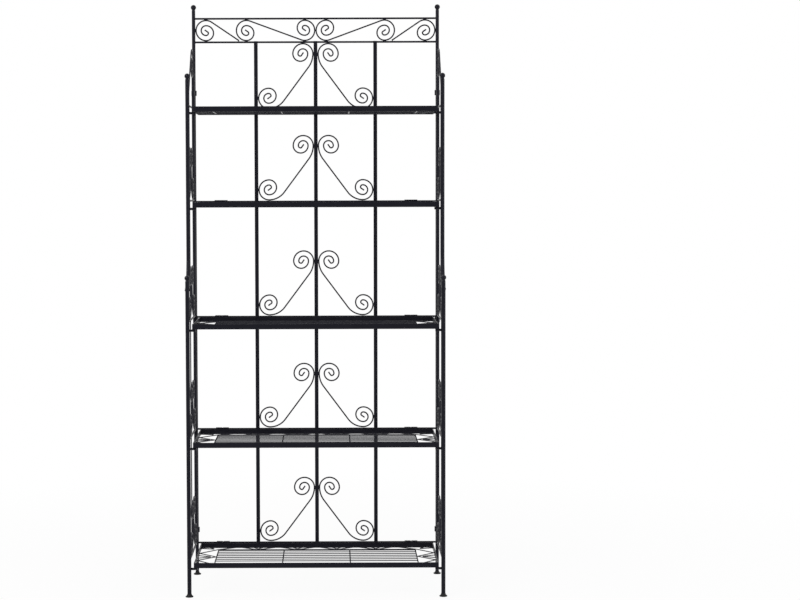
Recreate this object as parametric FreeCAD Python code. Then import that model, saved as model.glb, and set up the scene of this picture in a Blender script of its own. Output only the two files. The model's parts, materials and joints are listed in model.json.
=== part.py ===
import FreeCAD, Part
import math
import os

# Folding bakers rack: a scrolled back panel, two hinged side panels and five
# wire shelves that swing up on the rails of the back panel.
# Millimetres, +Z up, the front faces -Y. The origin is on the floor, midway
# between the four feet. "Depth" is measured forwards from the back posts' axes.

Vector = FreeCAD.Vector
Z_AXIS = Vector(0, 0, 1)

# ---- overall sizes ----
rack_height = 1830.0
post_span = 776.0            # between the axes of the two back posts
panel_depth = 346.0          # back post axis to lower front post axis
upper_post_depth = 288.0     # back post axis to upper front post axis
side_post_depth = 42.2       # back post axis to the side panel's own rear post
side_bar_depth = 162.6       # back post axis to the side panel's middle bar
back_bar_offset = 190.0      # from the middle bar to the outer bars of the back
lowest_shelf = 105.5         # top edge above the floor
bay_heights = (215.5, 291.5, 368.5, 361.5, 369.0)   # frieze down to the lowest shelf
upper_shelves = 2            # how many shelves hang on the upper front posts

# ---- tubes, rods and clearances ----
tube_wall = 1.0
back_post_d = 11.0
side_post_d = 9.6
front_post_d = 12.7
rail_d = 6.0
bar_width = 12.0             # flat bars of the back and side panels
bar_thickness = 3.0
flat_edge_r = 0.6            # rounding of a flat bar's long edges
scroll_d = 4.5
weld_gap = 0.1               # between welded round pieces
seat_gap = 0.3               # between a shelf and its pegs, a wire and its frame
slip_fit = 0.05              # radial, hinge pin in its knuckle
plug_fit = 0.1               # radial, plug in its tube

# ---- back panel ----
frieze_drop = 44.0           # finials' tips down to the axis of the topmost rail
frieze_height = 74.5         # between the axes of the two frieze rails
frieze_curl_spacing = 128.5  # between the centres of the two curls beside a post
frieze_tail_angle = 34.0     # slope of the end scroll's tail
rail_end_inset = 2.0         # shelf rails stop this far inside the post axes

# ---- curls and scrolls ----
curl_half_turns = 3
curl_step = 8.2              # the radius shrinks by this every half turn
curl_bend_r = 4.0
curl_bend_turn = 55.0
curl_hook = 12.0             # straight inner end
tail_low_r = 60.0            # tail of a bay scroll beside its lower curl, at most
tail_high_r = 71.0           # and beside its upper curl
side_curl_r = 32.0
side_scroll_rise = 126.0     # rail to the level where the upper curl meets the bar
crest_back_r = 42.7
crest_back_half_turns = 3
crest_back_step = 14.0
crest_front_r = 26.2
crest_front_half_turns = 2
crest_front_step = 10.5
crest_hook = 15.0
crest_lift = 27.2            # crest's rear curl centre above the side post's top
crest_drop = 37.5            # crest's front curl centre below the upper finial's top

# ---- side panels ----
side_rail_rise = 4.5         # side rail axis above the shelf's top edge
side_post_rise = 116.0       # rear post's end above the top shelf
side_post_foot = 5.0         # rear post's end below the lowest side rail's axis
lower_post_rise = 148.0      # finial's tip above the highest of the lower shelves
upper_post_rise = 100.0      # finial's tip above the top shelf
sweep_r = 134.0              # bend of the upper post down to the lower post
sweep_drop = 45.5            # the two posts' axes meet this far below that lower tip
peg_d = 7.5
peg_length = 18.0
peg_offset = 6.5             # peg axis behind its post's axis

# ---- finials and feet ----
ball_d = 17.0
ball_neck_d = 10.0
neck_height = 6.0
collar_height = 2.0
plug_length = 12.0
foot_d = 24.0
foot_rim = 3.4
foot_edge_r = 1.2
foot_height = 10.0
foot_lip = 0.6               # the foot's neck beyond the radius of its post

# ---- side panel hinges ----
strap_height = 16.0
strap_thickness = 3.0
knuckle_d = 9.0
hinge_pin_d = 6.0
panel_knuckle_length = 29.0
knuckle_clearance = 0.4      # between a strap's knuckle and the side post
hinge_end_gap = 0.3          # along the pin, between the two knuckles
pin_head_d = 8.4
pin_head_height = 1.5
strap_top_drop = 62.0        # top strap's middle below the side post's top
strap_bottom_rise = 36.5     # bottom strap's middle above the lowest side rail
strap_rail_gap = 1.0         # middle strap below the third shelf's rail

# ---- shelves ----
shelf_end_gap = 14.0         # from the side panel's plane to the shelf's end
shelf_back_gap = 19.7        # from the back posts' plane to the shelf's back bar
lower_shelf_overhang = 4.0   # front bar ahead of its front post's axis
upper_shelf_overhang = 6.0
shelf_bar_height = 16.0
shelf_bar_thickness = 3.0
deck_drop = 13.0             # deck border's axis below the shelf's top edge
deck_band_end = 60.0         # shelf's end to the axis of the deck's border
deck_band_deep = 50.0        # shelf's front or back to the axis of the border
deck_corner_r = 8.0
border_wire_d = 4.0
deck_wire_d = 3.0
deck_wire_pitch = 29.0
cross_rods = 2
wave_pitch = 126.0
least_waves = 2
wave_wire_d = 3.0
wave_bend_r = 6.0
leaf_tip = 12.0              # a leaf's tip ahead of the deck's border
leaf_foot = 20.0             # half the width of a leaf at the shelf's frame
leaf_bend_r = 3.0
shelf_strap_x = 303.0
shelf_strap_width = 41.0
shelf_strap_notch = 3.0
shelf_strap_sheet = 2.0
shelf_strap_leg = 14.0       # how far the strap reaches down the back bar
shelf_strap_fit = 0.1        # radial, round the rail

# ---- values worked out from the above ----
post_x = post_span / 2
back_y = panel_depth / 2
back_post_r = back_post_d / 2
side_post_r = side_post_d / 2
front_post_r = front_post_d / 2
rail_r = rail_d / 2
scroll_r = scroll_d / 2
half_bar = bar_width / 2
bar_layer = rail_r + weld_gap + bar_thickness / 2   # from a rail's axis to a bar's middle
frieze_top = rack_height - frieze_drop
frieze_bottom = frieze_top - frieze_height
frieze_middle = (frieze_top + frieze_bottom) / 2
curl_r = frieze_height / 2 - rail_r - scroll_r - weld_gap
shelf_rail_depth = 2 * bar_layer
bay_share = (frieze_bottom - lowest_shelf) / sum(bay_heights)
shelf_levels = [
    frieze_bottom - bay_share * sum(bay_heights[: i + 1]) for i in range(len(bay_heights))
]                            # top edges, top shelf first
side_rail_levels = [level + side_rail_rise for level in shelf_levels]
scroll_lift = rail_r + scroll_r + weld_gap
bay_scroll_rise = frieze_bottom - 2 * scroll_lift - curl_r - shelf_levels[0]
side_post_top = shelf_levels[0] + side_post_rise
upper_post_top = shelf_levels[0] + upper_post_rise
lower_post_top = shelf_levels[upper_shelves] + lower_post_rise
sweep_end = lower_post_top - sweep_drop
hinge_depth = side_post_depth - side_post_r - knuckle_d / 2 - knuckle_clearance
shelf_x = post_x - shelf_end_gap
deck_lift = border_wire_d / 2 + deck_wire_d / 2 + weld_gap
strap_levels = (
    side_post_top - strap_top_drop,
    shelf_levels[2] - rail_r - strap_rail_gap - strap_height / 2,
    side_rail_levels[-1] + strap_bottom_rise,
)


# ---- solids ----
def depth_point(x, depth, z):
    return Vector(x, back_y - depth, z)


def rod(start, end, radius):
    run = end - start
    return Part.makeCylinder(radius, run.Length, start, run)


def tube(start, end, radius, wall):
    return rod(start, end, radius).cut(rod(start, end, radius - wall))


def block(x0, x1, depth0, depth1, z0, z1):
    corner = depth_point(x0, depth1, z0)
    return Part.makeBox(x1 - x0, depth1 - depth0, z1 - z0, corner)


def flat_bar(x0, x1, depth0, depth1, z0, z1):
    """A bar with its four long edges rounded."""
    bar = block(x0, x1, depth0, depth1, z0, z1)
    edges = sorted(bar.Edges, key=lambda edge: edge.Length)
    thickness = edges[0].Length
    return bar.makeFillet(min(flat_edge_r, thickness / 3), edges[-4:])


def turned(outline, centre):
    """A closed outline of (radius, height) edges, turned round a vertical axis."""
    face = Part.Face(Part.Wire(outline))
    solid = face.revolve(Vector(0, 0, 0), Z_AXIS, 360)
    solid.translate(centre)
    return solid


def profile_edges(points):
    corners = [Vector(r, 0, z) for r, z in points]
    return [Part.LineSegment(a, b).toShape() for a, b in zip(corners, corners[1:])]


def save(name, solids):
    shape = solids[0] if len(solids) == 1 else Part.makeCompound(solids)
    if not shape.isValid():
        print("not valid:", name)
    shape.exportStep(os.path.join("parts", name + ".step"))
    print(name, len(shape.Solids), round(shape.Volume))


# ---- paths of straight runs and tangent arcs ----
class Path:
    """A path drawn from a point and a heading, in degrees, in its own plane."""

    def __init__(self, x, y, heading):
        self.x = x
        self.y = y
        self.heading = heading
        self.pieces = []

    def line(self, length):
        angle = math.radians(self.heading)
        end = (self.x + length * math.cos(angle), self.y + length * math.sin(angle))
        self.pieces.append([(self.x, self.y), end])
        self.x, self.y = end
        return self

    def arc(self, radius, turn):
        """Turns left by turn degrees, or right where turn is negative."""
        side = math.copysign(1, turn)
        spoke = math.radians(self.heading - side * 90)
        cx = self.x - radius * math.cos(spoke)
        cy = self.y - radius * math.sin(spoke)
        points = [(self.x, self.y)]
        for share in (0.5, 1.0):
            angle = spoke + math.radians(turn) * share
            points.append((cx + radius * math.cos(angle), cy + radius * math.sin(angle)))
        self.pieces.append(points)
        self.x, self.y = points[-1]
        self.heading += turn
        return self

    def curl(self, radii, side, hook, last_turn=0.0, last_r=1.0):
        """Half turns of shrinking radius, a tight bend and a straight end."""
        for radius in radii:
            self.arc(radius, 180 * side)
        if last_turn:
            self.arc(last_r, last_turn * side)
        self.arc(curl_bend_r, curl_bend_turn * side)
        return self.line(hook)


def backwards(pieces):
    return [piece[::-1] for piece in reversed(pieces)]


def swept(pieces, radius, place):
    """A round wire along the pieces, which start with a straight run."""
    edges = []
    for piece in pieces:
        points = [place(x, y) for x, y in piece]
        curve = Part.Arc(*points) if len(points) == 3 else Part.LineSegment(*points)
        edges.append(curve.toShape())
    path = Part.Wire(edges)
    start = place(*pieces[0][0])
    along = place(*pieces[0][1]) - start
    section = Part.Wire([Part.Circle(start, along, radius).toShape()])
    solid = path.makePipeShell([section], True, False)
    expected = math.pi * radius ** 2 * path.Length
    if abs(solid.Volume / expected - 1) > 0.01:
        print("wire volume off:", solid.Volume, expected)
    return solid


def back_plane(side, depth):
    return lambda x, z: depth_point(side * x, depth, z)


def side_plane(side):
    return lambda depth, z: depth_point(side * post_x, depth, z)


def level_plane(z):
    return lambda x, y: Vector(x, y, z)


def full_curl(path, radius, side):
    """Half turns, a quarter turn and the hook."""
    radii = [radius - curl_step * i for i in range(curl_half_turns)]
    return path.curl(radii, side, curl_hook, 90.0, radius - curl_step * curl_half_turns)


def bay_scroll(low_x, high_x, low_y, high_y, radius, low_tail_r, high_tail_r):
    """C-scroll between a lowest point (low_x, low_y) and a side point at high_x.

    The tail leaves the lowest point flat, and reaches the side point upright.
    Its bends are tighter where the bay is too narrow for them.
    """
    share = min(1.0, (high_x - low_x) / high_tail_r)
    low_tail_r *= share
    high_tail_r *= share
    lean_x = high_x - low_x - high_tail_r
    lean_y = high_y - low_y - low_tail_r
    spread = high_tail_r - low_tail_r
    length = math.sqrt(lean_x ** 2 + lean_y ** 2 - spread ** 2)
    slope = math.degrees(math.atan2(lean_y, lean_x) - math.atan2(spread, length))
    low = full_curl(Path(low_x, low_y, 180), radius, -1)
    tail = Path(low_x, low_y, 0).arc(low_tail_r, slope).line(length)
    tail.arc(high_tail_r, 90 - slope)
    high = full_curl(Path(tail.x, tail.y, 90), radius, 1)
    return backwards(low.pieces) + tail.pieces + high.pieces


def cross_tangent(x0, y0, r0, x1, y1, r1):
    """Slope and length of the line that leaves circle 0 above and meets circle 1 below."""
    gap = math.hypot(x1 - x0, y1 - y0)
    length = math.sqrt(gap ** 2 - (r0 + r1) ** 2)
    slope = math.atan2(y1 - y0, x1 - x0) - math.atan2(r0 + r1, length)
    return math.degrees(slope), length


def s_scroll(first, second, curl_first, curl_second):
    """Two curls, each (x, y, radius), joined by a straight run that falls between them."""
    slope, length = cross_tangent(*first, *second)
    lean = math.radians(slope)
    start_x = first[0] - first[2] * math.sin(lean)
    start_y = first[1] + first[2] * math.cos(lean)
    head = Path(start_x, start_y, slope + 180).arc(first[2], -slope)
    curl_first(head)
    run = Path(start_x, start_y, slope).line(length)
    run.arc(second[2], -slope)
    curl_second(run)
    return backwards(head.pieces) + run.pieces


def corner_arc(before, corner, after, radius):
    """Start, middle and end of the arc that rounds the corner between two points."""
    back = (before[0] - corner[0], before[1] - corner[1])
    ahead = (after[0] - corner[0], after[1] - corner[1])
    back = tuple(part / math.hypot(*back) for part in back)
    ahead = tuple(part / math.hypot(*ahead) for part in ahead)
    half = math.acos(back[0] * ahead[0] + back[1] * ahead[1]) / 2
    setback = radius / math.tan(half)
    reach = radius / math.sin(half) - radius
    inward = (back[0] + ahead[0], back[1] + ahead[1])
    size = math.hypot(*inward)
    return [
        (corner[0] + back[0] * setback, corner[1] + back[1] * setback),
        (corner[0] + inward[0] / size * reach, corner[1] + inward[1] / size * reach),
        (corner[0] + ahead[0] * setback, corner[1] + ahead[1] * setback),
    ]


def rounded(points, radius):
    """A closed path through the points, with rounded corners."""
    arcs = []
    for i, corner in enumerate(points):
        after = points[(i + 1) % len(points)]
        arcs.append(corner_arc(points[i - 1], corner, after, radius))
    pieces = []
    for i, arc in enumerate(arcs):
        pieces.append([arcs[i - 1][-1], arc[0]])
        pieces.append(arc)
    return pieces


def bent(start, corner, end, radius):
    """Two straight runs joined by an arc."""
    arc = corner_arc(start, corner, end, radius)
    return [[start, arc[0]], arc, [arc[-1], end]]


# ---- finials and feet ----
def finial_base(tip):
    """Height at which the post ends under a finial whose tip is given."""
    ball_r = ball_d / 2
    neck_r = ball_neck_d / 2
    return tip - ball_r - math.sqrt(ball_r ** 2 - neck_r ** 2) - neck_height


def finial(x, depth, tip, post_r):
    base = finial_base(tip)
    ball_r = ball_d / 2
    centre_z = tip - ball_r
    plug_r = post_r - tube_wall - plug_fit
    points = [
        (0, tip),
        (0, base - plug_length),
        (plug_r, base - plug_length),
        (plug_r, base),
        (post_r, base),
        (post_r, base + collar_height),
        (ball_neck_d / 2, base + neck_height),
    ]
    edges = profile_edges(points)
    neck = Vector(ball_neck_d / 2, 0, base + neck_height)
    widest = Vector(ball_r, 0, centre_z)
    edges.append(Part.Arc(neck, widest, Vector(0, 0, tip)).toShape())
    return turned(edges, Vector(x, back_y - depth, 0))


def foot(x, depth, post_r):
    """A round foot whose hollow flare ends upright against the post."""
    plug_r = post_r - tube_wall - plug_fit
    neck_r = post_r + foot_lip
    edge_x = foot_d / 2 - foot_edge_r
    bend = foot_edge_r * math.sqrt(0.5)
    spread = edge_x - neck_r
    drop = foot_height - foot_rim
    flare_r = (drop ** 2 + spread ** 2) / (2 * spread)
    half = math.atan2(spread, drop)
    edges = profile_edges([(0, 0), (edge_x, 0)])
    low = Vector(foot_d / 2, 0, foot_edge_r)
    low_bend = Vector(edge_x + bend, 0, foot_edge_r - bend)
    edges.append(Part.Arc(Vector(edge_x, 0, 0), low_bend, low).toShape())
    high = Vector(foot_d / 2, 0, foot_rim - foot_edge_r)
    high_bend = Vector(edge_x + bend, 0, foot_rim - foot_edge_r + bend)
    rim = Vector(edge_x, 0, foot_rim)
    edges.append(Part.LineSegment(low, high).toShape())
    edges.append(Part.Arc(high, high_bend, rim).toShape())
    hollow_x = neck_r + flare_r * (1 - math.cos(half))
    hollow = Vector(hollow_x, 0, foot_height - flare_r * math.sin(half))
    edges.append(Part.Arc(rim, hollow, Vector(neck_r, 0, foot_height)).toShape())
    top = foot_height + plug_length
    edges += profile_edges([(neck_r, foot_height), (plug_r, foot_height), (plug_r, top), (0, top), (0, 0)])
    return turned(edges, Vector(x, back_y - depth, 0))


# ---- back panel ----
def back_post(side):
    base = finial_base(rack_height)
    x = side * post_x
    start = depth_point(x, 0, foot_height)
    return [tube(start, depth_point(x, 0, base), back_post_r, tube_wall)]


def back_finials():
    return [finial(s * post_x, 0, rack_height, back_post_r) for s in (-1, 1)]


def back_feet():
    return [foot(s * post_x, 0, back_post_r) for s in (-1, 1)]


def frieze_rails():
    rails = []
    for z in (frieze_top, frieze_bottom):
        rail = rod(depth_point(-post_x, 0, z), depth_point(post_x, 0, z), rail_r)
        for side in (-1, 1):
            low = depth_point(side * post_x, 0, z - back_post_d)
            high = depth_point(side * post_x, 0, z + back_post_d)
            rail = rail.cut(rod(low, high, back_post_r + weld_gap))
        rails.append(rail)
    return rails


def frieze_scrolls():
    """An end scroll with a straight tail and a long S-scroll, on both halves."""
    solids = []
    end_x = post_x - back_post_r - weld_gap - scroll_r - curl_r
    middle_x = scroll_r + weld_gap / 2 + curl_r
    lean = math.radians(frieze_tail_angle)
    drop = curl_r * (1 + math.cos(lean)) + scroll_r * (1 - math.cos(lean))
    outer = (frieze_curl_spacing - end_x, frieze_middle, curl_r)
    inner = (-middle_x, frieze_middle, curl_r)
    curl = lambda path: full_curl(path, curl_r, 1)
    top = curl(Path(-end_x, frieze_middle + curl_r, 180))
    tail = Path(-end_x, frieze_middle + curl_r, 0).arc(curl_r, -frieze_tail_angle)
    tail.line(drop / math.sin(lean))
    for side in (1, -1):
        place = back_plane(side, 0)
        solids.append(swept(backwards(top.pieces) + tail.pieces, scroll_r, place))
        solids.append(swept(s_scroll(outer, inner, curl, curl), scroll_r, place))
    return solids


def back_bar(x):
    """A flat bar in front of the lower frieze rail and behind the shelf rails."""
    near = bar_layer - bar_thickness / 2
    low = shelf_levels[-1] - rail_r
    high = frieze_bottom + rail_r
    return [flat_bar(x - half_bar, x + half_bar, near, near + bar_thickness, low, high)]


def shelf_rail(level):
    end = post_x - rail_end_inset
    start = depth_point(-end, shelf_rail_depth, level)
    return [rod(start, depth_point(end, shelf_rail_depth, level), rail_r)]


def back_scrolls(level):
    """Two C-scrolls beside the middle bar, in one layer with the bars."""
    seat = half_bar + scroll_r + weld_gap
    outer_x = back_bar_offset - seat
    pieces = bay_scroll(
        -outer_x + curl_r,
        -seat,
        level + scroll_lift,
        level + scroll_lift + bay_scroll_rise,
        curl_r,
        tail_low_r,
        tail_high_r,
    )
    return [swept(pieces, scroll_r, back_plane(side, bar_layer)) for side in (1, -1)]


def hinge_strap(x, level):
    low = level - strap_height / 2
    ring_r = back_post_r + weld_gap + strap_thickness
    half = strap_thickness / 2
    up = Vector(0, 0, strap_height)
    post = depth_point(x, 0, low)
    pin = depth_point(x, hinge_depth, low)
    strap = rod(post, post + up, ring_r)
    strap = strap.fuse(rod(pin, pin + up, knuckle_d / 2))
    strap = strap.fuse(block(x - half, x + half, 0, hinge_depth, low, low + strap_height))
    strap = strap.cut(rod(post, post + up, back_post_r + weld_gap))
    strap = strap.cut(rod(pin, pin + up, hinge_pin_d / 2 + slip_fit))
    return strap.removeSplitter()


def panel_knuckle_span(index):
    """Lowest and highest point of a panel's knuckle: the last one hangs below."""
    level = strap_levels[index]
    near = strap_height / 2 + hinge_end_gap
    far = near + panel_knuckle_length
    if index == len(strap_levels) - 1:
        return level - far, level - near
    return level + near, level + far


def hinge_pin(x, index):
    level = strap_levels[index]
    low, high = panel_knuckle_span(index)
    top = max(high, level + strap_height / 2) + hinge_end_gap
    bottom = min(low, level - strap_height / 2) - pin_head_height
    pin = rod(
        depth_point(x, hinge_depth, bottom),
        depth_point(x, hinge_depth, top),
        hinge_pin_d / 2,
    )
    head = rod(
        depth_point(x, hinge_depth, top),
        depth_point(x, hinge_depth, top + pin_head_height),
        pin_head_d / 2,
    )
    return pin.fuse(head).removeSplitter()


def hinge_straps():
    return [hinge_strap(s * post_x, level) for s in (-1, 1) for level in strap_levels]


def hinge_pins():
    count = len(strap_levels)
    return [hinge_pin(s * post_x, index) for s in (-1, 1) for index in range(count)]


# ---- side panels ----
def side_back_post(side):
    x = side * post_x
    low = depth_point(x, side_post_depth, side_rail_levels[-1] - side_post_foot)
    high = depth_point(x, side_post_depth, side_post_top)
    return [tube(low, high, side_post_r, tube_wall)]


def side_bar(side):
    """The flat bar that crosses the outer side of the rails."""
    middle = side * (post_x + bar_layer)
    half = bar_thickness / 2
    rear = side_bar_depth - half_bar
    low = side_rail_levels[-1] - rail_r
    high = side_rail_levels[0] + rail_r
    return [flat_bar(middle - half, middle + half, rear, rear + bar_width, low, high)]


def lower_post(side):
    x = side * post_x
    base = finial_base(lower_post_top)
    start = depth_point(x, panel_depth, foot_height)
    return [tube(start, depth_point(x, panel_depth, base), front_post_r, tube_wall)]


def upper_post(side):
    """Straight above, and bent forwards below to meet the lower post."""
    step = panel_depth - upper_post_depth
    lean = math.acos(1 - step / sweep_r)
    base = finial_base(upper_post_top)
    path = Path(upper_post_depth, base, -90)
    path.line(base - sweep_end - sweep_r * math.sin(lean))
    path.arc(sweep_r, math.degrees(lean))
    post = swept(path.pieces, front_post_r, side_plane(side))
    post = post.cut(swept(path.pieces, front_post_r - tube_wall, side_plane(side)))
    x = side * post_x
    low = depth_point(x, panel_depth, sweep_end - sweep_r)
    high = depth_point(x, panel_depth, sweep_end + sweep_r)
    return [post.cut(rod(low, high, front_post_r + weld_gap))]


def side_finials(side):
    x = side * post_x
    return [
        finial(x, panel_depth, lower_post_top, front_post_r),
        finial(x, upper_post_depth, upper_post_top, front_post_r),
    ]


def side_foot(side):
    return [foot(side * post_x, panel_depth, front_post_r)]


def front_post_depth(index):
    """Depth of the front post that carries a shelf or a side rail."""
    return upper_post_depth if index < upper_shelves else panel_depth


def side_rails(side):
    x = side * post_x
    rails = []
    for index, level in enumerate(side_rail_levels):
        front = front_post_depth(index)
        rail = rod(depth_point(x, side_post_depth, level), depth_point(x, front, level), rail_r)
        for depth, radius in ((side_post_depth, side_post_r), (front, front_post_r)):
            low = depth_point(x, depth, level - front_post_d)
            high = depth_point(x, depth, level + front_post_d)
            rail = rail.cut(rod(low, high, radius + weld_gap))
        rails.append(rail)
    return rails


def side_scrolls(side):
    """A pair of C-scrolls on each of the four lower rails, alike about the middle bar.

    They lie between the posts, and their upper curls end behind the bar's edges.
    """
    behind = side_bar_depth - side_post_depth - side_post_r
    ahead = upper_post_depth - side_bar_depth - front_post_r
    reach = min(behind, ahead) - scroll_r - weld_gap
    low_x = side_bar_depth - reach + side_curl_r
    high_x = side_bar_depth - half_bar
    place = side_plane(side)
    solids = []
    for level in side_rail_levels[1:]:
        low_z = level + scroll_lift
        pieces = bay_scroll(
            low_x,
            high_x,
            low_z,
            low_z + side_scroll_rise,
            side_curl_r,
            tail_low_r,
            tail_high_r,
        )
        solids.append(swept(pieces, scroll_r, place))
        across = lambda depth, z: place(2 * side_bar_depth - depth, z)
        solids.append(swept(pieces, scroll_r, across))
    return solids


def side_crest(side):
    """S-scroll from the top of the rear post down to the upper front post."""
    back = (
        side_post_depth + crest_back_r,
        side_post_top + crest_lift,
        crest_back_r,
    )
    front = (
        upper_post_depth - front_post_r - scroll_r - weld_gap - crest_front_r,
        upper_post_top - crest_drop,
        crest_front_r,
    )
    back_radii = [crest_back_r - crest_back_step * i for i in range(crest_back_half_turns)]
    front_radii = [crest_front_r - crest_front_step * i for i in range(crest_front_half_turns)]
    pieces = s_scroll(
        back,
        front,
        lambda path: path.curl(back_radii, 1, crest_hook),
        lambda path: path.curl(front_radii, 1, crest_hook),
    )
    return swept(pieces, scroll_r, side_plane(side))


def side_pegs(side):
    x = side * post_x
    pegs = []
    for index, level in enumerate(shelf_levels):
        post = front_post_depth(index)
        z = level - shelf_bar_height - seat_gap - peg_d / 2
        start = depth_point(x, post - peg_offset, z)
        reach = Vector(-side * (front_post_r + peg_length), 0, 0)
        low = depth_point(x, post, z - front_post_d)
        high = depth_point(x, post, z + front_post_d)
        post_rod = rod(low, high, front_post_r + weld_gap)
        pegs.append(rod(start, start + reach, peg_d / 2).cut(post_rod))
    return pegs


def panel_knuckles(side):
    x = side * post_x
    half = strap_thickness / 2
    solids = []
    for index in range(len(strap_levels)):
        low, high = panel_knuckle_span(index)
        start = depth_point(x, hinge_depth, low)
        end = depth_point(x, hinge_depth, high)
        knuckle = rod(start, end, knuckle_d / 2)
        web = block(x - half, x + half, hinge_depth, side_post_depth, low, high)
        post_low = depth_point(x, side_post_depth, low)
        post_high = depth_point(x, side_post_depth, high)
        knuckle = knuckle.fuse(web)
        knuckle = knuckle.cut(rod(post_low, post_high, side_post_r + weld_gap))
        knuckle = knuckle.cut(rod(start, end, hinge_pin_d / 2 + slip_fit))
        solids.append(knuckle.removeSplitter())
    return solids


# ---- shelves ----
def shelf_front(index):
    overhang = upper_shelf_overhang if index < upper_shelves else lower_shelf_overhang
    return front_post_depth(index) + overhang


def shelf_frame(index):
    """Four flat bars on edge: front and back full length, ends between them."""
    top = shelf_levels[index]
    low = top - shelf_bar_height
    back = shelf_back_gap
    front = shelf_front(index)
    t = shelf_bar_thickness
    return [
        flat_bar(-shelf_x, shelf_x, back, back + t, low, top),
        flat_bar(-shelf_x, shelf_x, front - t, front, low, top),
        flat_bar(-shelf_x, -shelf_x + t, back + t, front - t, low, top),
        flat_bar(shelf_x - t, shelf_x, back + t, front - t, low, top),
    ]


def deck_corners(index):
    """Half width, front y and back y of the deck's border, along its axis."""
    half = shelf_x - deck_band_end
    front = back_y - shelf_front(index) + deck_band_deep
    back = back_y - shelf_back_gap - deck_band_deep
    return half, front, back


def shelf_deck(index):
    """Border wire, cross rods inside it and long wires on top."""
    half, front, back = deck_corners(index)
    z = shelf_levels[index] - deck_drop
    corners = [(-half, front), (half, front), (half, back), (-half, back)]
    border_r = border_wire_d / 2
    solids = [swept(rounded(corners, deck_corner_r), border_r, level_plane(z))]
    inside = border_wire_d / 2 + weld_gap
    spacing = 2 * half / (cross_rods + 1)
    for i in range(cross_rods):
        x = -half + spacing * (i + 1)
        solids.append(rod(Vector(x, front + inside, z), Vector(x, back - inside, z), border_r))
    gaps = round((back - front) / deck_wire_pitch)
    for i in range(1, gaps):
        y = front + (back - front) * i / gaps
        start = Vector(-half, y, z + deck_lift)
        solids.append(rod(start, Vector(half, y, z + deck_lift), deck_wire_d / 2))
    return solids


def leaf(tip, foot_a, out_a, foot_b, out_b):
    """A bent wire from the frame to its tip and back, its cut ends near the frame."""
    ends = []
    for foot, out in ((foot_a, out_a), (foot_b, out_b)):
        run = (foot[0] - tip[0], foot[1] - tip[1])
        cosine = (run[0] * out[0] + run[1] * out[1]) / math.hypot(*run)
        slack = wave_wire_d / 2 * (1 - math.sqrt(1 - cosine ** 2))
        ends.append((foot[0] + out[0] * slack, foot[1] + out[1] * slack))
    return bent(ends[0], tip, ends[1], leaf_bend_r)


def band_side(start, along, out, length, width, waves):
    """Wave points and leaves of one side of the band, from one corner to the next.

    start is the corner of the deck's border, along and out are unit directions.
    """
    pitch = length / waves
    wire_r = wave_wire_d / 2
    near = border_wire_d / 2 + seat_gap + wire_r
    far = width - shelf_bar_thickness - seat_gap - wire_r
    half_angle = math.atan2(pitch / 2, far - near)
    shift = wave_bend_r * (1 / math.sin(half_angle) - 1)

    def point(run, reach):
        return tuple(start[j] + along[j] * run + out[j] * reach for j in (0, 1))

    wave = []
    leaves = []
    for i in range(waves):
        if i:
            middle = i * pitch
            wave.append(point(middle, near - shift))
            tip = point(middle, near + leaf_tip)
            foot_a = point(middle - leaf_foot, far)
            foot_b = point(middle + leaf_foot, far)
            leaves.append(leaf(tip, foot_a, out, foot_b, out))
        wave.append(point((i + 0.5) * pitch, far + shift))
    return wave, leaves


def corner_leaf(start, out_a, band_a, out_b, band_b):
    """The leaf that points from a corner of the frame to the deck's corner."""
    clear = shelf_bar_thickness + seat_gap + wave_wire_d / 2
    tip = tuple(start[j] + (out_a[j] + out_b[j]) * leaf_tip for j in (0, 1))
    corner = tuple(
        start[j] + out_a[j] * (band_a - clear) + out_b[j] * (band_b - clear) for j in (0, 1)
    )
    foot_a = tuple(corner[j] - out_b[j] * leaf_foot for j in (0, 1))
    foot_b = tuple(corner[j] - out_a[j] * leaf_foot for j in (0, 1))
    return leaf(tip, foot_a, out_a, foot_b, out_b)


def shelf_border(index):
    """A closed wave of wire in the band round the deck, with a leaf in each bay."""
    half, front, back = deck_corners(index)
    width = 2 * half
    deep = back - front
    wire_r = wave_wire_d / 2
    near = border_wire_d / 2 + seat_gap + wire_r
    long_waves = round(width / wave_pitch)
    short_waves = max(least_waves, round(deep / wave_pitch))
    sides = (
        ((-half, front), (1, 0), (0, -1), width, deck_band_deep, long_waves),
        ((half, front), (0, 1), (1, 0), deep, deck_band_end, short_waves),
        ((half, back), (-1, 0), (0, 1), width, deck_band_deep, long_waves),
        ((-half, back), (0, -1), (-1, 0), deep, deck_band_end, short_waves),
    )
    wave = []
    leaves = []
    for i, (start, along, out, length, band, waves) in enumerate(sides):
        out_before = sides[i - 1][2]
        band_before = sides[i - 1][4]
        wave.append(tuple(start[j] + (out_before[j] + out[j]) * near for j in (0, 1)))
        leaves.append(corner_leaf(start, out_before, band_before, out, band))
        side_wave, side_leaves = band_side(start, along, out, length, band, waves)
        wave.extend(side_wave)
        leaves.extend(side_leaves)
    place = level_plane(shelf_levels[index] - deck_drop)
    closed = swept(rounded(wave, wave_bend_r), wire_r, place)
    return [closed] + [swept(pieces, wire_r, place) for pieces in leaves]


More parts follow.
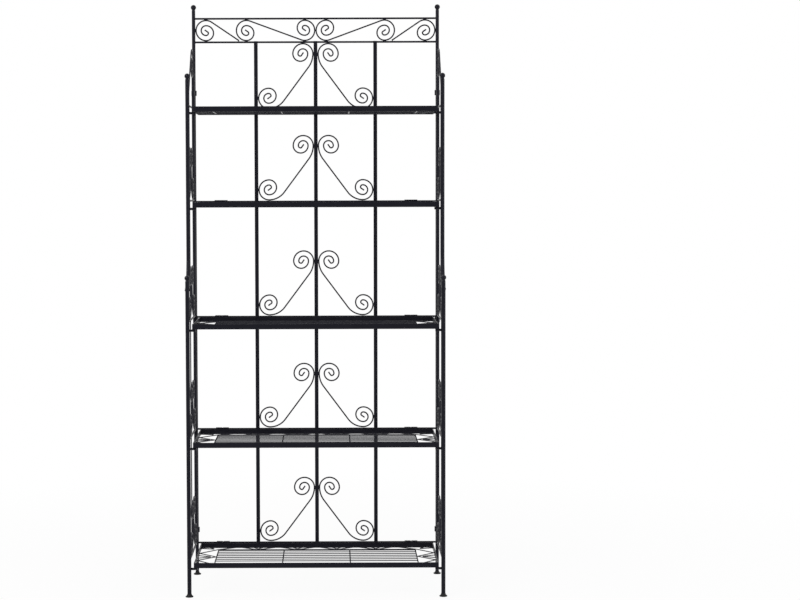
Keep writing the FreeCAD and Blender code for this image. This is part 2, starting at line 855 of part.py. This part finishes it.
def shelf_straps(index):
    """Two notched straps, rolled round the rail and set on the back bar."""
    level = shelf_levels[index]
    bore_r = rail_r + shelf_strap_fit
    loop_r = bore_r + shelf_strap_sheet
    leg = shelf_back_gap - shelf_strap_sheet
    solids = []
    for side in (-1, 1):
        x0 = side * shelf_strap_x - shelf_strap_width / 2
        x1 = x0 + shelf_strap_width
        start = depth_point(x0, shelf_rail_depth, level)
        end = depth_point(x1, shelf_rail_depth, level)
        strap = rod(start, end, loop_r)
        bridge = block(x0, x1, shelf_rail_depth, leg, level + bore_r, level + loop_r)
        drop = block(x0, x1, leg, shelf_back_gap, level - shelf_strap_leg, level + loop_r)
        strap = strap.fuse([bridge, drop]).cut(rod(start, end, bore_r))
        middle = side * shelf_strap_x
        half = shelf_strap_notch / 2
        notch = block(middle - half, middle + half, 0, leg, level - loop_r, level + 2 * loop_r)
        solids.append(strap.cut(notch).removeSplitter())
    return solids


# ---- every node ----
def back_panel_nodes():
    nodes = {
        "back_post_left": back_post(-1),
        "back_post_right": back_post(1),
        "back_finials": back_finials(),
        "back_feet": back_feet(),
        "frieze_rails": frieze_rails(),
        "frieze_scrolls": frieze_scrolls(),
        "back_bar_left": back_bar(-back_bar_offset),
        "back_bar_middle": back_bar(0),
        "back_bar_right": back_bar(back_bar_offset),
        "panel_hinge_straps": hinge_straps() + hinge_pins(),
    }
    for index, level in enumerate(shelf_levels):
        nodes["shelf_rail_%d" % (index + 1)] = shelf_rail(level)
        nodes["back_scrolls_%d" % (index + 1)] = back_scrolls(level)
    return nodes


def side_panel_nodes(name, side):
    return {
        "side_%s_rear_post" % name: side_back_post(side),
        "side_%s_middle_bar" % name: side_bar(side),
        "side_%s_lower_post" % name: lower_post(side),
        "side_%s_upper_post" % name: upper_post(side),
        "side_%s_finials" % name: side_finials(side),
        "side_%s_foot" % name: side_foot(side),
        "side_%s_rails" % name: side_rails(side),
        "side_%s_scrolls" % name: side_scrolls(side) + [side_crest(side)],
        "side_%s_pegs" % name: side_pegs(side),
        "side_%s_knuckles" % name: panel_knuckles(side),
    }


def shelf_nodes(index):
    name = "shelf_%d" % (index + 1)
    return {
        name + "_frame": shelf_frame(index),
        name + "_deck": shelf_deck(index),
        name + "_border": shelf_border(index),
        name + "_straps": shelf_straps(index),
    }


def build():
    os.makedirs("parts", exist_ok=True)
    nodes = back_panel_nodes()
    nodes.update(side_panel_nodes("left", -1))
    nodes.update(side_panel_nodes("right", 1))
    for index in range(len(shelf_levels)):
        nodes.update(shelf_nodes(index))
    for name, solids in nodes.items():
        save(name, solids)
    print(len(nodes), "nodes")


build()
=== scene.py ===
import json
import math
from collections import namedtuple

import bmesh
import bpy
import numpy as np
from mathutils import Matrix, Vector, noise
from mathutils.bvhtree import BVHTree
from mathutils.kdtree import KDTree


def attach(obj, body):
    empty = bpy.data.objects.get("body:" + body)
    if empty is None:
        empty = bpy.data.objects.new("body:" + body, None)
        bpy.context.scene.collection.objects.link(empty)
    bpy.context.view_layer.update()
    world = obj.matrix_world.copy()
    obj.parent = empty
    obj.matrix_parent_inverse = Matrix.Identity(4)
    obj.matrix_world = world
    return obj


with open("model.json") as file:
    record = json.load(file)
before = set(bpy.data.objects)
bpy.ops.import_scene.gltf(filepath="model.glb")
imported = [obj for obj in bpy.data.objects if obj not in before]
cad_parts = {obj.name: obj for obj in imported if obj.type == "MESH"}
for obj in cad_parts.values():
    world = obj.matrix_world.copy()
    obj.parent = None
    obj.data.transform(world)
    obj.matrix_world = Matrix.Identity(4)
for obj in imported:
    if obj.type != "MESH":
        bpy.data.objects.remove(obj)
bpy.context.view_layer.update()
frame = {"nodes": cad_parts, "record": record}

# A folding bakers rack of black powder-coated steel: tubes, wire scrolls and
# tip-up wire shelves. Metres, +Z up, the front faces -Y.

MM = 0.001

# ---- camera: a long lens a little right of the rack's middle ----
CAMERA_PLACE = (0.05, -5.96, 1.244)
CAMERA_PITCH = 3.32           # degrees down
CAMERA_ROLL = -0.17           # degrees
CAMERA_REACH = 100.0          # it sees no further
FOCAL_MM = 86.1
SENSOR_MM = 36.0
FRAME_SHIFT = 0.0851          # the rack stands left of the frame's middle

NOISE_ROUGHNESS = 0.55        # fine detail in the clouds of every finish

# ---- powder coat ----
COAT_BLACK = "#0a0a10"        # pigment of the coat
COAT_THIN = "#111118"         # greyer where it lies thin
COAT_CLOUD_MM = 42.0          # slow drift of build and gloss along a piece
COAT_SPECULAR = 0.2           # matting agents take most of the surface's mirror
COAT_SHEEN = "#dfdff0"        # and leave it faintly cold
COAT_IOR = 1.5
GLOSS_DRIFT = (0.3, 0.7)      # of the drift, where the gloss runs from end to end
PEEL_STRENGTH = 0.55          # of the orange-peel skin's bump
GRAIN_STRENGTH = 0.5          # of the bump that the steel leaves in the coat
DUST_AND_HIGHLIGHT = "#6d6c70"              # house dust, and a painted highlight, on faces that look up
DUST_AND_HIGHLIGHT_MM = 9.0                 # from one drift to the next
DUST_AND_HIGHLIGHT_DRIFT = (0.35, 0.75)     # of the cloud, from bare coat to the thickest drift
DUST_AND_HIGHLIGHT_COVER = 0.25             # share of the coat that the thickest drift hides
DUST_AND_HIGHLIGHT_LIES = 0.25              # least upward share of a face's direction
DUST_AND_HIGHLIGHT_MATT = 0.5               # roughness that full cover would add

# ---- moulded feet ----
PLASTIC_BLACK = "#101012"
PLASTIC_SCUFFED = "#2a2a2c"
PLASTIC_IOR = 1.49
PLASTIC_SPECULAR = 0.25
PLASTIC_GLOSS = (0.5, 0.66)
PLASTIC_DRIFT = (0.3, 0.7)
SCUFF_MM = 5.0                # from one scuff to the next
SCUFF_DRIFT = (0.45, 0.8)     # of the cloud, from clean to the worst scuff
SCUFF_MOST = 0.5              # share of the scuffed colour in the worst of them
SPARK_GRAIN_MM = 0.5          # the mould's spark-eroded grain
SPARK_DEPTH_MM = 0.04
SPARK_STRENGTH = 0.4


def linear(hex_colour):
    """sRGB hex to a linear colour with alpha 1."""
    channels = [int(hex_colour[i:i + 2], 16) / 255 for i in (1, 3, 5)]
    return [
        c / 12.92 if c <= 0.04045 else ((c + 0.055) / 1.055) ** 2.4 for c in channels
    ] + [1.0]


def add(tree, kind, settings=None, links=None):
    """Adds a node, sets its properties or inputs, and links sources to its inputs.

    A source is an output, or a node that stands for its first output.
    """
    node = tree.nodes.new(kind)
    for key, value in (settings or {}).items():
        if isinstance(key, int) or key in node.inputs:
            node.inputs[key].default_value = value
        else:
            setattr(node, key, value)
    for key, source in (links or {}).items():
        if isinstance(source, bpy.types.Node):
            source = source.outputs[0]
        tree.links.new(source, node.inputs[key])
    return node


def new_material(name):
    material = bpy.data.materials.new(name)
    material.use_nodes = True
    tree = material.node_tree
    tree.nodes.clear()
    return material, tree


def powder_coat(name, gloss, peel_mm, peel_height_mm, grain=None):
    """Polyester powder coat, satin black, sprayed dry and baked on mild steel.

    It melts into a faint orange-peel skin, 1 to 2 mm from dimple to dimple.
    gloss gives the roughness at both ends of its slow drift. grain gives the
    size in mm along X, Y and Z, and the height, of a coarser ripple: what
    rolling or drawing left in the steel.
    """
    material, tree = new_material(name)
    coords = add(tree, "ShaderNodeTexCoord").outputs
    place = {"Vector": coords["Object"]}
    build = add(
        tree, "ShaderNodeTexNoise",
        {"Scale": 1 / (COAT_CLOUD_MM * MM), "Detail": 3.0, "Roughness": NOISE_ROUGHNESS},
        place,
    )
    clean = add(
        tree, "ShaderNodeMix",
        {"data_type": "RGBA", 6: linear(COAT_BLACK), 7: linear(COAT_THIN)},
        {0: build},
    ).outputs[2]

    # dust settles on what looks up, in drifts; the same lighter colour also paints a
    # highlight on the upward faces
    drifts = add(
        tree, "ShaderNodeTexNoise",
        {"Scale": 1 / (DUST_AND_HIGHLIGHT_MM * MM), "Detail": 4.0, "Roughness": NOISE_ROUGHNESS},
        place,
    )
    dust_and_highlight_drift = add(
        tree, "ShaderNodeMapRange",
        {"From Min": DUST_AND_HIGHLIGHT_DRIFT[0], "From Max": DUST_AND_HIGHLIGHT_DRIFT[1], "To Max": DUST_AND_HIGHLIGHT_COVER},
        {"Value": drifts},
    )
    up = add(tree, "ShaderNodeSeparateXYZ", links={0: coords["Normal"]}).outputs["Z"]
    lying = add(tree, "ShaderNodeMapRange", {"From Min": DUST_AND_HIGHLIGHT_LIES}, {"Value": up})
    dust_and_highlight = add(
        tree, "ShaderNodeMath", {"operation": "MULTIPLY"}, {0: dust_and_highlight_drift, 1: lying}
    )
    # mixes in the lighter colour on upward faces: part house dust, part painted highlight
    colour = add(
        tree, "ShaderNodeMix", {"data_type": "RGBA", 7: linear(DUST_AND_HIGHLIGHT)}, {0: dust_and_highlight, 6: clean}
    ).outputs[2]

    satin = add(
        tree, "ShaderNodeMapRange",
        {
            "From Min": GLOSS_DRIFT[0], "From Max": GLOSS_DRIFT[1],
            "To Min": gloss[0], "To Max": gloss[1],
        },
        {"Value": build},
    )
    roughness = add(
        tree, "ShaderNodeMath", {"operation": "MULTIPLY_ADD", 1: DUST_AND_HIGHLIGHT_MATT},
        {0: dust_and_highlight, 2: satin},
    )
    peel = add(
        tree, "ShaderNodeTexNoise",
        {"Scale": 1 / (peel_mm * MM), "Detail": 2.0, "Roughness": NOISE_ROUGHNESS},
        place,
    )
    skin = add(
        tree, "ShaderNodeBump",
        {"Strength": PEEL_STRENGTH, "Distance": peel_height_mm * MM},
        {"Height": peel},
    )
    if grain:
        sizes, height_mm = grain
        scale = [1 / (size * MM) for size in sizes]
        stretched = add(tree, "ShaderNodeMapping", {"Scale": scale}, place)
        ripple = add(
            tree, "ShaderNodeTexNoise", {"Scale": 1.0, "Detail": 2.0}, {"Vector": stretched}
        )
        skin = add(
            tree, "ShaderNodeBump",
            {"Strength": GRAIN_STRENGTH, "Distance": height_mm * MM},
            {"Height": ripple, "Normal": skin},
        )
    shader = add(
        tree, "ShaderNodeBsdfPrincipled",
        {
            "IOR": COAT_IOR,
            "Specular IOR Level": COAT_SPECULAR,
            "Specular Tint": linear(COAT_SHEEN),
        },
        {"Base Color": colour, "Roughness": roughness, "Normal": skin},
    )
    add(tree, "ShaderNodeOutputMaterial", links={"Surface": shader})
    return material


def moulded_plastic(name):
    """Black polypropylene from a spark-eroded mould: an even, fine, matt grain."""
    material, tree = new_material(name)
    place = {"Vector": add(tree, "ShaderNodeTexCoord").outputs["Object"]}
    scuff = add(
        tree, "ShaderNodeTexNoise",
        {"Scale": 1 / (SCUFF_MM * MM), "Detail": 4.0, "Roughness": NOISE_ROUGHNESS},
        place,
    )
    worn = add(
        tree, "ShaderNodeMapRange",
        {"From Min": SCUFF_DRIFT[0], "From Max": SCUFF_DRIFT[1], "To Max": SCUFF_MOST},
        {"Value": scuff},
    )
    colour = add(
        tree, "ShaderNodeMix",
        {"data_type": "RGBA", 6: linear(PLASTIC_BLACK), 7: linear(PLASTIC_SCUFFED)},
        {0: worn},
    ).outputs[2]
    roughness = add(
        tree, "ShaderNodeMapRange",
        {
            "From Min": PLASTIC_DRIFT[0], "From Max": PLASTIC_DRIFT[1],
            "To Min": PLASTIC_GLOSS[0], "To Max": PLASTIC_GLOSS[1],
        },
        {"Value": scuff},
    )
    grain = add(
        tree, "ShaderNodeTexVoronoi",
        {"Scale": 1 / (SPARK_GRAIN_MM * MM), "feature": "SMOOTH_F1"},
        place,
    )
    skin = add(
        tree, "ShaderNodeBump",
        {"Strength": SPARK_STRENGTH, "Distance": SPARK_DEPTH_MM * MM},
        {"Height": grain},
    )
    shader = add(
        tree, "ShaderNodeBsdfPrincipled",
        {"IOR": PLASTIC_IOR, "Specular IOR Level": PLASTIC_SPECULAR},
        {"Base Color": colour, "Roughness": roughness, "Normal": skin},
    )
    add(tree, "ShaderNodeOutputMaterial", links={"Surface": shader})
    return material


# size in mm of the steel's ripples along X, Y and Z
ALONG_X = (60.0, 4.0, 4.0)
ALONG_Z = (5.0, 5.0, 80.0)

COATS = {
    # long ripples of the drawn tube under a smooth coat
    "tube": powder_coat("powder_coat_on_tube", (0.3, 0.42), 1.8, 0.05, (ALONG_Z, 0.08)),
    # thicker on thin wire, so softer and glossier
    "wire": powder_coat("powder_coat_on_wire", (0.26, 0.38), 1.1, 0.04),
    # mill scale and rolling marks show through on flat bar
    "flat": powder_coat("powder_coat_on_flat_bar", (0.34, 0.46), 1.5, 0.06, (ALONG_X, 0.12)),
    "upright": powder_coat(
        "powder_coat_on_upright_bar", (0.34, 0.46), 1.5, 0.06, (ALONG_Z, 0.12)
    ),
    # turned balls, smooth and the glossiest of all
    "ball": powder_coat("powder_coat_on_turned_ball", (0.22, 0.32), 1.6, 0.03),
    # pooled over the weld's ripples
    "weld": powder_coat("powder_coat_on_weld", (0.3, 0.4), 0.7, 0.06),
    "foot": moulded_plastic("polypropylene_foot"),
}


def coat_of(name):
    if name.endswith(("_foot", "_feet")):
        return COATS["foot"]
    if name.endswith("finials"):
        return COATS["ball"]
    if name.endswith(("_frame", "_straps", "_knuckles")):
        return COATS["flat"]
    if "_bar" in name:
        return COATS["upright"]
    if "scrolls" in name or name.endswith(("_deck", "_border")):
        return COATS["wire"]
    return COATS["tube"]


for name, node in frame["nodes"].items():
    node.data.materials.clear()
    node.data.materials.append(coat_of(name))


# ---- weld beads: a lump of weld wherever two pieces of one body touch ----
MERGE = 1e-6                  # corners closer than this are one
LEAST_RUN = 1e-12             # stands in for an edge that doesn't run along an axis
WELD_REACH = 0.95 * MM        # no weld bridges a wider gap
WELD_BAND = 0.3 * MM          # its seat lies within this of the narrowest gap
WELD_STEP = 1.2 * MM          # between the points that feel for the seat
WELD_LINK = 3.0 * MM          # points nearer than this share a seat
WELD_BROAD = 9.0 * MM         # a broader seat is a plug, a bore or a clip, and isn't welded
WELD_STITCH = 12.0 * MM       # a longer seam gets a stitch at each end
WELD_CROWN = 1.3 * MM         # how far a bead stands out round its seat
WELD_LEAST = 1.7 * MM         # a bead's least radius
STITCH_SHARE = 0.4            # of WELD_STITCH: half a stitch's length
RING_STEP = 2.6 * MM          # between the beads of a full ring
RING_BEAD = 1.2 * WELD_LEAST  # their radius
BEAD_SEGMENTS = 8
BEAD_RINGS = 5
BEAD_SWELL = 0.16             # how uneven a bead is, as a share of its radius
BEAD_SWELL_SIZE = 2.4 * MM    # from one swell to the next
PRESSED_IN = {"back_finials", "back_feet"}
PINNED = "panel_hinge_straps"  # its pins turn in its straps

# ends holds both ends of each edge
Solid = namedtuple("Solid", "node low high ends tree")


def groups(count, neighbours):
    """Numbers below count, in groups of those that neighbours links."""
    unseen = set(range(count))
    found = []
    while unseen:
        reached = [unseen.pop()]
        group = list(reached)
        while reached:
            for other in neighbours(reached.pop()):
                if other in unseen:
                    unseen.remove(other)
                    reached.append(other)
                    group.append(other)
        found.append(group)
    return found


def solids_of(node):
    """The separate solids of a node, merged from its loose triangles."""
    shape = bmesh.new()
    shape.from_mesh(node.data)
    bmesh.ops.remove_doubles(shape, verts=shape.verts, dist=MERGE)
    shape.verts.index_update()
    verts = list(shape.verts)
    islands = groups(
        len(verts), lambda i: [e.other_vert(verts[i]).index for e in verts[i].link_edges]
    )
    solids = []
    for island in islands:
        order = {i: place for place, i in enumerate(island)}
        # a dict keeps the order of the faces and edges, which a set would shuffle
        faces = dict.fromkeys(face for i in island for face in verts[i].link_faces)
        edges = dict.fromkeys(edge for i in island for edge in verts[i].link_edges)
        corners = np.array([tuple(verts[i].co) for i in island])
        tree = BVHTree.FromPolygons(
            corners.tolist(), [[order[v.index] for v in face.verts] for face in faces]
        )
        ends = corners[[[order[v.index] for v in edge.verts] for edge in edges]]
        solids.append(Solid(node.name, corners.min(0), corners.max(0), ends, tree))
    shape.free()
    return solids


def gaps_between(first, second):
    """(gap, middle) wherever the first solid's edges come near the second."""
    low = np.maximum(first.low, second.low) - WELD_REACH
    high = np.minimum(first.high, second.high) + WELD_REACH
    start = first.ends[:, 0]
    run = first.ends[:, 1] - start
    run = np.where(np.abs(run) < LEAST_RUN, LEAST_RUN, run)
    limits = np.sort([(low - start) / run, (high - start) / run], axis=0)
    enter = np.clip(limits[0].max(1), 0, 1)
    leave = np.clip(limits[1].min(1), 0, 1)
    inside = (limits[0].max(1) < 1) & (limits[1].min(1) > 0) & (enter < leave)
    found = []
    for i in np.flatnonzero(inside):
        length = np.linalg.norm(run[i]) * (leave[i] - enter[i])
        middle = Vector(start[i] + run[i] * (enter[i] + leave[i]) / 2)
        if not second.tree.find_nearest(middle, WELD_REACH + length / 2)[0]:
            continue
        for share in np.linspace(enter[i], leave[i], 1 + math.ceil(length / WELD_STEP)):
            point = Vector(start[i] + run[i] * share)
            near, _, _, gap = second.tree.find_nearest(point, WELD_REACH)
            if near:
                found.append((gap, (point + near) / 2))
    return found


def seats_of(first, second):
    """Clusters of points where the two solids lie closest."""
    low = np.maximum(first.low, second.low)
    high = np.minimum(first.high, second.high)
    if (low - high > WELD_REACH).any():
        return []
    sparse, dense = sorted((first, second), key=lambda solid: len(solid.ends))
    found = gaps_between(dense, sparse)
    if not found:
        return []
    narrowest = min(gap for gap, _ in found)
    points = [middle for gap, middle in found if gap < narrowest + WELD_BAND]
    tree = KDTree(len(points))
    for i, point in enumerate(points):
        tree.insert(point, i)
    tree.balance()
    seats = groups(
        len(points), lambda i: [j for _, j, _ in tree.find_range(points[i], WELD_LINK)]
    )
    return [np.array([tuple(points[i]) for i in seat]) for seat in seats]


def lump(shape, centre, axes, radii):
    """One bead: an uneven egg."""
    turn = Matrix([tuple(axis) for axis in axes]).transposed().to_4x4()
    size = Matrix.Diagonal((*radii, 1.0))
    made = bmesh.ops.create_uvsphere(
        shape, u_segments=BEAD_SEGMENTS, v_segments=BEAD_RINGS, radius=1.0,
        matrix=Matrix.Translation(centre) @ turn @ size,
    )
    for vert in made["verts"]:
        swell = 1 + BEAD_SWELL * noise.noise(vert.co / BEAD_SWELL_SIZE)
        vert.co = Vector(centre) + (vert.co - Vector(centre)) * swell


def weld_seat(shape, seat, ringed):
    """Beads on one seat: one lump, a stitch at each end, or a ring of lumps."""
    centre = seat.mean(0)
    spread = seat - centre
    axes = np.linalg.eigh(spread.T @ spread)[1][:, ::-1].T
    if np.linalg.det(axes) < 0:
        axes[2] = -axes[2]
    along = spread @ axes.T
    low = along.min(0)
    high = along.max(0)
    centre = centre + ((low + high) / 2) @ axes
    half = (high - low) / 2
    if ringed:
        left = list(seat)
        while left:
            point = left[0]
            lump(shape, point, axes, [RING_BEAD] * 3)
            left = [other for other in left if np.linalg.norm(other - point) > RING_STEP]
        return
    if 2 * half[1] > WELD_BROAD:
        return
    radii = np.maximum(half + WELD_CROWN, WELD_LEAST)
    if 2 * half[0] <= WELD_STITCH:
        lump(shape, centre, axes, radii)
        return
    radii[0] = WELD_STITCH * STITCH_SHARE
    for end in (-1, 1):
        lump(shape, centre + axes[0] * end * (half[0] - radii[0]), axes, radii)


def weld_beads(body, names):
    """One piece with all the beads of a body."""
    solids = [solid for name in names for solid in solids_of(frame["nodes"][name])]
    shape = bmesh.new()
    for i, first in enumerate(solids):
        for second in solids[i + 1:]:
            if first.node in PRESSED_IN or first.node == second.node == PINNED:
                continue
            pair = first.node + second.node
            ringed = "upper_post" in pair and "lower_post" in pair
            for seat in seats_of(first, second):
                weld_seat(shape, seat, ringed)
    bmesh.ops.recalc_face_normals(shape, faces=shape.faces)
    mesh = bpy.data.meshes.new("weld_beads_" + body)
    shape.to_mesh(mesh)
    shape.free()
    mesh.polygons.foreach_set("use_smooth", [True] * len(mesh.polygons))
    mesh.materials.append(COATS["weld"])
    piece = bpy.data.objects.new("weld_beads_" + body, mesh)
    bpy.context.scene.collection.objects.link(piece)
    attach(piece, body)


for body, names in frame["record"]["behaviour"]["bodies"].items():
    weld_beads(body, names)


# ---- stage, light and camera ----
RACK_MIDDLE = (0, 0, 0.9)
WHITE = "#ffffff"
FLOOR_HALF = 30.0
FLOOR_PAINT = "#f2f2f2"
SHADE_NEAR = 0.6              # the floor's shading fades out between these radii
SHADE_FAR = 2.4
SHOWN_WHITE = 0.92            # share of plain white in what is seen of the floor
WORLD_LIGHT = 0.6
ROOM_SHARE = 0.3              # of white, in what the front mirrors
COVE_END = -0.9               # direction's Y where the white cove has ended
COVE_START = -0.1             # and where it is still full


def seen_ray(tree):
    """1 for camera, glossy and transmission rays."""
    ray = add(tree, "ShaderNodeLightPath").outputs
    mirrored = add(
        tree, "ShaderNodeMath", {"operation": "MAXIMUM"},
        {0: ray["Is Glossy Ray"], 1: ray["Is Transmission Ray"]},
    )
    return add(
        tree, "ShaderNodeMath", {"operation": "MAXIMUM"},
        {0: ray["Is Camera Ray"], 1: mirrored},
    )


def stage_floor():
    """A matt white floor, seen as mostly plain white with the rack's shadow."""
    mesh = bpy.data.meshes.new("floor")
    shape = bmesh.new()
    bmesh.ops.create_grid(shape, x_segments=1, y_segments=1, size=FLOOR_HALF)
    shape.to_mesh(mesh)
    shape.free()
    floor = bpy.data.objects.new("floor", mesh)
    bpy.context.scene.collection.objects.link(floor)
    material, tree = new_material("studio_floor_paint")
    place = add(tree, "ShaderNodeTexCoord").outputs["Object"]
    far = add(
        tree, "ShaderNodeVectorMath", {"operation": "LENGTH"}, {0: place}
    ).outputs["Value"]
    white_share = add(
        tree, "ShaderNodeMapRange",
        {"From Min": SHADE_NEAR, "From Max": SHADE_FAR, "To Min": SHOWN_WHITE},
        {"Value": far},
    )
    share = add(
        tree, "ShaderNodeMath", {"operation": "MULTIPLY"},
        {0: white_share, 1: seen_ray(tree)},
    )
    paint = add(
        tree, "ShaderNodeBsdfPrincipled",
        {"Base Color": linear(FLOOR_PAINT), "Roughness": 0.9, "Specular IOR Level": 0.1},
    )
    white = add(tree, "ShaderNodeEmission", {"Color": linear(WHITE), "Strength": 1.0})
    mix = add(tree, "ShaderNodeMixShader", links={0: share, 1: paint, 2: white})
    add(tree, "ShaderNodeOutputMaterial", links={"Surface": mix})
    mesh.materials.append(material)


def soft_lamp(name, place, side, watts):
    """A square soft box that looks at the rack's middle."""
    lamp = bpy.data.lights.new(name, "AREA")
    lamp.shape = "RECTANGLE"
    lamp.size = side
    lamp.size_y = side
    lamp.energy = watts
    holder = bpy.data.objects.new(name, lamp)
    holder.location = place
    towards = Vector(RACK_MIDDLE) - Vector(place)
    holder.rotation_euler = towards.to_track_quat("-Z", "Y").to_euler()
    bpy.context.scene.collection.objects.link(holder)


def studio_world():
    world = bpy.data.worlds.new("studio")
    world.use_nodes = True
    tree = world.node_tree
    tree.nodes.clear()
    light = add(
        tree, "ShaderNodeBackground", {"Color": linear(WHITE), "Strength": WORLD_LIGHT}
    )
    # the white cove ends beside the rack, whose front mirrors the darker room
    place = add(tree, "ShaderNodeTexCoord").outputs["Generated"]
    depth = add(tree, "ShaderNodeSeparateXYZ", links={0: place}).outputs["Y"]
    cove = add(
        tree, "ShaderNodeMapRange",
        {"From Min": COVE_END, "From Max": COVE_START, "To Min": ROOM_SHARE},
        {"Value": depth},
    )
    ray = add(tree, "ShaderNodeLightPath").outputs
    strength = add(
        tree, "ShaderNodeMath", {"operation": "MAXIMUM"}, {0: cove, 1: ray["Is Camera Ray"]}
    )
    white = add(
        tree, "ShaderNodeBackground", {"Color": linear(WHITE)}, {"Strength": strength}
    )
    mix = add(tree, "ShaderNodeMixShader", links={0: seen_ray(tree), 1: light, 2: white})
    add(tree, "ShaderNodeOutputWorld", links={"Surface": mix})
    bpy.context.scene.world = world


def set_camera():
    camera = bpy.data.objects.new("camera", bpy.data.cameras.new("camera"))
    camera.data.lens = FOCAL_MM
    camera.data.sensor_width = SENSOR_MM
    camera.data.shift_x = FRAME_SHIFT
    camera.data.clip_end = CAMERA_REACH
    turn = Matrix.Rotation(math.radians(90 - CAMERA_PITCH), 4, "X")
    roll = Matrix.Rotation(math.radians(CAMERA_ROLL), 4, "Z")
    camera.matrix_world = Matrix.Translation(CAMERA_PLACE) @ turn @ roll
    bpy.context.scene.collection.objects.link(camera)
    bpy.context.scene.camera = camera


stage_floor()
studio_world()
soft_lamp("key", (-2.4, -3.2, 3.2), 2.0, 90)
soft_lamp("fill", (3.0, -3.0, 2.0), 2.5, 45)
set_camera()
bpy.context.scene.view_settings.view_transform = "Standard"
